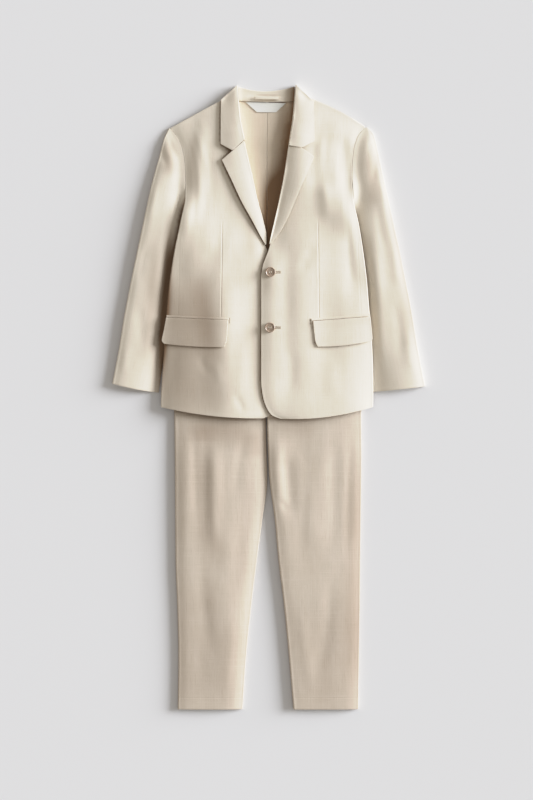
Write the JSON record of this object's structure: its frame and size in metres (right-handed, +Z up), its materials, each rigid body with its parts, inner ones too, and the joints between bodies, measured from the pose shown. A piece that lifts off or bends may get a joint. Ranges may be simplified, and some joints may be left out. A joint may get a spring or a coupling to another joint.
{
  "type": "child's linen suit laid flat, jacket over trousers",
  "caption": "Child's linen suit laid flat: notch-lapel jacket with buttons and flap pockets over straight trousers, all panels as thin cloth walls.",
  "frame": {"origin": "on the surface that the suit lies on, under the middle of its outline", "axes": "+X towards the wearer's left sleeve, +Y from the trouser hems towards the collar, +Z up from the surface to the side that shows"},
  "size_m": [0.5958, 1.1856, 0.0266],
  "materials": {
    "jacket_linen": "plain-weave linen, matt, pale ecru",
    "inner_linen": "inside of the plain-weave linen, matt, slightly darker",
    "trouser_linen": "plain-weave linen, matt, warm beige",
    "label_satin": "white woven satin, left bare",
    "horn_button": "brown-grey imitation horn, half gloss"
  },
  "bodies": {
    "root": {"jacket_back_left": "inner_linen", "jacket_back_right": "inner_linen", "jacket_front_left": "jacket_linen", "jacket_front_right": "jacket_linen", "lapel_left": "jacket_linen", "lapel_right": "jacket_linen", "collar_fall_left": "jacket_linen", "collar_fall_right": "jacket_linen", "collar_fall_back": "jacket_linen", "collar_stand": "jacket_linen", "hanger_loop": "jacket_linen", "neck_label": "label_satin", "sleeve_left_top": "jacket_linen", "sleeve_left_under": "jacket_linen", "sleeve_right_top": "jacket_linen", "sleeve_right_under": "jacket_linen", "pocket_flap_left": "jacket_linen", "pocket_flap_right": "jacket_linen", "pocket_welt_left": "jacket_linen", "pocket_welt_right": "jacket_linen", "button_upper": "horn_button", "button_lower": "horn_button", "trousers_front_left": "trouser_linen", "trousers_front_right": "trouser_linen", "trousers_back_left": "trouser_linen", "trousers_back_right": "trouser_linen", "waistband_front": "trouser_linen", "waistband_back": "trouser_linen"}
  },
  "joints": []
}
